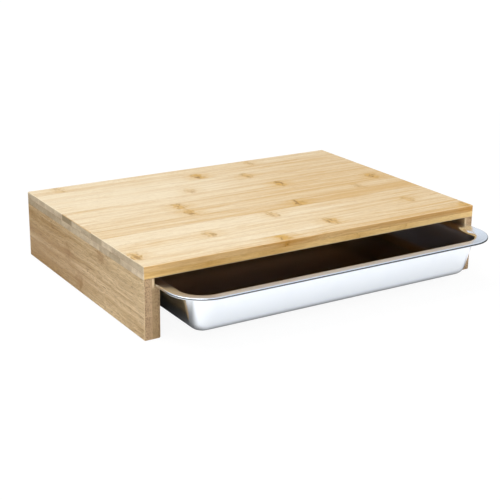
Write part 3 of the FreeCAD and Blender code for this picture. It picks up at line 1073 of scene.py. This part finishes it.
# %% Which ray is asking, and the four shaders that answer


def mirror_path(tree, path):
    """1 for a ray the camera sees in a mirror or through glass, and 0 after a matt bounce."""
    turned = plus(tree, path["Is Glossy Ray"], path["Is Transmission Ray"], clamp=True)
    return times(tree, turned, calc(tree, "LESS_THAN", path["Diffuse Depth"], 0.5))


def emission(tree, strength):
    """White light of a strength."""
    return put(tree, "Emission", {"Color": grey(1.0), "Strength": strength}).outputs[0]


def matt(tree, colour):
    """A matt surface."""
    return put(tree, "BsdfDiffuse", {"Color": colour}).outputs[0]


def add_shaders(tree, first, second):
    """Both shaders at full strength."""
    return put(tree, "AddShader", {0: first, 1: second}).outputs[0]


def mix_shaders(tree, factor, first, second):
    """first where factor is 0, second where it is 1: shaders."""
    return put(tree, "MixShader", {0: factor, 1: first, 2: second}).outputs[0]


# %% [markdown]
# ## Floor
#
# The floor runs on far beyond the view. To the camera it glows, with only a tenth of its own
# shading left, so the shadow of the object stays soft on a white ground, and the glow rises to
# full white farther out. In mirrors the floor is bright near by and dark farther off, by the
# length of the ray, and under the board it carries a painted shadow, darker than beside it.
# To all other rays it is a plain pale matt floor, which lights the legs from below.

# %% Floor
FLOOR_HALF = 6.0
FLOOR_WHITE = 0.90
CAMERA_SHADING = 0.10
CAMERA_GLOW = (0.925, 1.0)
GLOW_REACH = (0.4, 1.6)
BOARD_HALF_WIDTH = 0.215
BOARD_FRONT = -0.15
BOARD_BORDER = (-0.032, 0.010)
RAY_LENGTHS = (0.085, 0.135)
FAR_FLOOR = 0.03
PAINTED_SHADOW_UNDER_BOARD = 0.30
MIRRORED_GLOW = 0.33

corners = np.array([(-1, -1, 0), (1, -1, 0), (1, 1, 0), (-1, 1, 0)]) * FLOOR_HALF
floor = mesh_object("floor", corners.tolist(), [(0, 1, 2, 3)])

floor_paint, tree, _ = new_material("pale floor")
tree.nodes.clear()
path = put(tree, "LightPath").outputs
place = put(tree, "TexCoord").outputs["Object"]
spot = split(tree, place)

# How far a spot lies outside the board's footprint: max(|x| - half width, front - y).
over_x = minus(tree, calc(tree, "ABSOLUTE", spot[0]), BOARD_HALF_WIDTH)
over_y = minus(tree, BOARD_FRONT, spot[1])
beside = fade(tree, calc(tree, "MAXIMUM", over_x, over_y), *BOARD_BORDER)
near_by = fade(tree, path["Ray Length"], *RAY_LENGTHS, 1.0, FAR_FLOOR)
# Painted shadow: in mirrors the floor under the board is darker than beside it.
card = times(tree, near_by, fade(tree, beside, 0.0, 1.0, PAINTED_SHADOW_UNDER_BOARD, FLOOR_WHITE))
trace = emission(tree, times(tree, times(tree, beside, near_by), MIRRORED_GLOW))
mirrored = add_shaders(tree, matt(tree, card), trace)

away = put(tree, "VectorMath", {0: place}, operation="LENGTH").outputs["Value"]
glow = emission(tree, fade(tree, away, *GLOW_REACH, *CAMERA_GLOW))
lifted = add_shaders(tree, matt(tree, grey(CAMERA_SHADING)), glow)
seen = mix_shaders(tree, path["Is Camera Ray"], matt(tree, grey(FLOOR_WHITE)), lifted)
surface = mix_shaders(tree, mirror_path(tree, path), seen, mirrored)
put(tree, "OutputMaterial", {"Surface": surface})
floor.data.materials.append(floor_paint)
print("floor:", 2 * FLOOR_HALF, "m wide,", len(tree.nodes), "nodes")

# %% [markdown]
# ## Sky
#
# The sky is the same idea. The camera sees plain white behind the object. Wood gets soft light
# that fades out towards the horizon. Steel sees a bright, slightly blue ceiling, which falls to
# dark low down, and further up on the camera's side than behind the object: the height is leaned
# back by a quarter of the y direction.

# %% Sky
AMBIENT = 0.40
AMBIENT_HEIGHTS = (0.05, 0.50)
SKY_LEAN = 0.25
CEILING_HEIGHTS = (0.05, 0.60)
DARK_HORIZON = 0.03
COOL_WHITE = screen(241, 247, 255)

world = bpy.data.worlds.new("pale sky")
world.use_nodes = True
bpy.context.scene.world = world
tree = world.node_tree
tree.nodes.clear()
path = put(tree, "LightPath").outputs
direction = split(tree, put(tree, "TexCoord").outputs["Generated"])
mirror = mirror_path(tree, path)
even = fade(tree, direction[2], *AMBIENT_HEIGHTS, 0.0, AMBIENT)
leaned = times_plus(tree, direction[1], SKY_LEAN, direction[2])
ceiling = fade(tree, leaned, *CEILING_HEIGHTS, DARK_HORIZON, 1.0)
gathered = mix(tree, mirror, even, ceiling)
strength = mix(tree, path["Is Camera Ray"], gathered, 1.0)
colour = blend(tree, mirror, grey(1.0), COOL_WHITE)
sky = put(tree, "Background", {"Color": colour, "Strength": strength}).outputs[0]
put(tree, "OutputWorld", {"Surface": sky})
print("sky:", len(tree.nodes), "nodes")

# %% [markdown]
# ## Lamps
#
# Four large soft lamps stand in for a studio's softboxes: one overhead, a little to the left
# and behind, for the bright top face, and three weaker ones from the front, the front left and
# the right, for the faces that look that way. Small lamps would give hard shadows. Only the
# overhead lamp shows in the steel, as its highlight. The rest are hidden from mirrors, so the
# tray's walls stay clean.

# %% Set up the lamps
LAMP_AIM = (0.0, 0.0, 0.04)
LAMPS = {
    "top_lamp": {"place": (-0.45, 0.15, 1.65), "power": 15.5, "size": 1.2, "gloss": True},
    "front_lamp": {"place": (0.15, -1.5, 1.2), "power": 8.2, "size": 1.2, "gloss": False},
    "front_left_lamp": {"place": (-1.25, -1.05, 0.85), "power": 6.5, "size": 1.0, "gloss": False},
    "right_lamp": {"place": (1.3, -1.0, 0.6), "power": 4.0, "size": 1.0, "gloss": False},
}


def look_at(source, target):
    """Rotation that turns an object's -Z axis from source towards target."""
    direction = np.array(target) - np.array(source)
    return Vector(direction).to_track_quat("-Z", "Y").to_euler()


def soft_lamp(name, place, power, size, gloss):
    """A square lamp of a power in watts, aimed at the object; gloss lets mirrors see it."""
    lamp = bpy.data.lights.new(name, "AREA")
    lamp.energy = power
    lamp.shape = "SQUARE"
    lamp.size = size
    holder = bpy.data.objects.new(name, lamp)
    holder.location = place
    holder.rotation_euler = look_at(place, LAMP_AIM)
    holder.visible_glossy = gloss
    bpy.context.scene.collection.objects.link(holder)


for name, settings in LAMPS.items():
    soft_lamp(name, **settings)
print("lamps:", len(LAMPS), "with", sum(lamp["power"] for lamp in LAMPS.values()), "W in all")

# %% [markdown]
# ## Camera
#
# A long lens from the front left, a little above the board. A constraint could aim the camera
# at the object, but it would keep it level and centred. Here its three axes are worked out from
# the angles round the object and a small roll, and written into its matrix with its place.

# %% Place the camera
AZIMUTH = math.radians(-32.14)
ELEVATION = math.radians(18.95)
ROLL = math.radians(0.81)
CAMERA_PLACE = (-0.6039, -0.9380, 0.4043)
SENSOR_MM = 36.0
LENS_MM = 81.87

# Its back axis is (sin azimuth * cos elevation, -cos azimuth * cos elevation, sin elevation).
across, behind = math.sin(AZIMUTH), -math.cos(AZIMUTH)
back = np.array([across * math.cos(ELEVATION), behind * math.cos(ELEVATION), math.sin(ELEVATION)])
level = np.cross((0.0, 0.0, 1.0), back)
level /= np.linalg.norm(level)
upright = np.cross(back, level)
right = level * math.cos(ROLL) + upright * math.sin(ROLL)
up = upright * math.cos(ROLL) - level * math.sin(ROLL)

lens = bpy.data.cameras.new("camera")
lens.sensor_width = SENSOR_MM
lens.lens = LENS_MM
camera = bpy.data.objects.new("camera", lens)
pose = np.eye(4)
pose[:3] = np.stack([right, up, back, CAMERA_PLACE], axis=1)
camera.matrix_world = pose.T.tolist()
bpy.context.scene.collection.objects.link(camera)
bpy.context.scene.camera = camera
bpy.context.scene.view_settings.view_transform = "Standard"
print("camera looks along", (-back).round(3))
